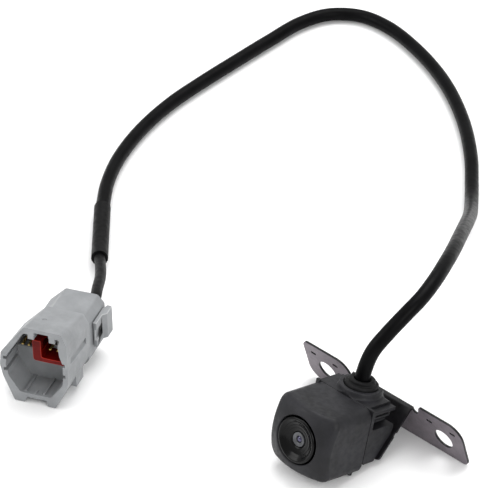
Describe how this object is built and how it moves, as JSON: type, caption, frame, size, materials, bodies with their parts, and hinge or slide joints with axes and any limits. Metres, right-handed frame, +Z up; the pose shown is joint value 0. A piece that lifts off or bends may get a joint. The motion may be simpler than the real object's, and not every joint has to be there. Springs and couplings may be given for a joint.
{
  "type": "rear view camera module",
  "caption": "Small cube camera on a folded steel ear bracket, with a sealed round lead that ends in a keyed multi-way plug.",
  "frame": {"origin": "on the floor, under the middle of the bounding box of the camera with its bracket, the lead and plug not counted", "axes": "+X along the line of the two bolt holes, to the right as seen facing the lens; -Y ahead of the lens; +Z up from the floor the camera lies on"},
  "size_m": [0.1986, 0.2237, 0.0442],
  "materials": {
    "body_plastic": "fine spark-eroded texture, semi-matt",
    "seal_rubber": "matt moulded rubber",
    "lens_black": "high gloss",
    "ring_metal": "satin",
    "lens_glass": "coated, polished",
    "chip_black": "matt",
    "board_green": "solder resist, satin",
    "socket_white": "matt",
    "coated_steel": "thin black dip coat, semi-gloss",
    "screw_steel": "dark zinc plate",
    "plug_grey": "moulded, satin",
    "lock_red": "moulded, satin",
    "terminal_brass": "bright tin over brass",
    "lead_jacket": "extruded jacket, satin",
    "sleeve_black": "shrunk tube, satin",
    "tail_jacket": "extruded jacket, satin"
  },
  "bodies": {
    "camera": {"front_shell": "body_plastic", "rear_shell": "body_plastic", "shell_gasket": "seal_rubber", "lens_barrel": "lens_black", "lens_ring": "ring_metal", "front_lens": "lens_glass", "lens_o_ring": "seal_rubber", "middle_lens": "lens_glass", "rear_lens": "lens_glass", "lens_spacer": "chip_black", "lens_holder": "body_plastic", "ir_filter": "lens_glass", "image_sensor": "chip_black", "sensor_board": "board_green", "board_plug": "chip_black", "main_board": "board_green", "video_chip": "chip_black", "wire_socket": "socket_white", "gland_seal": "seal_rubber", "bracket": "coated_steel", "bracket_screw_left": "screw_steel", "bracket_screw_right": "screw_steel", "plug_housing": "plug_grey", "plug_cap": "plug_grey", "wire_seal": "seal_rubber", "terminal_1": "terminal_brass", "terminal_2": "terminal_brass", "terminal_3": "terminal_brass", "terminal_4": "terminal_brass", "lead": "lead_jacket", "shrink_sleeve": "sleeve_black", "lead_tail": "tail_jacket"},
    "lock": {"secondary_lock": "lock_red"},
    "clip": {"cap_clip": "plug_grey"}
  },
  "joints": [
    {"name": "lock_slide", "type": "slide", "parent": "camera", "child": "lock", "axis": [0.4226, -0.9063, 0], "range_m": [0, 0.002]},
    {"name": "clip_flex", "type": "hinge", "parent": "camera", "child": "clip", "pos_m": [-0.07777, -0.02193, 0.009], "axis": [0, 0, -1], "range_deg": [0, 12], "stiffness_Nm_per_rad": 0.02}
  ]
}
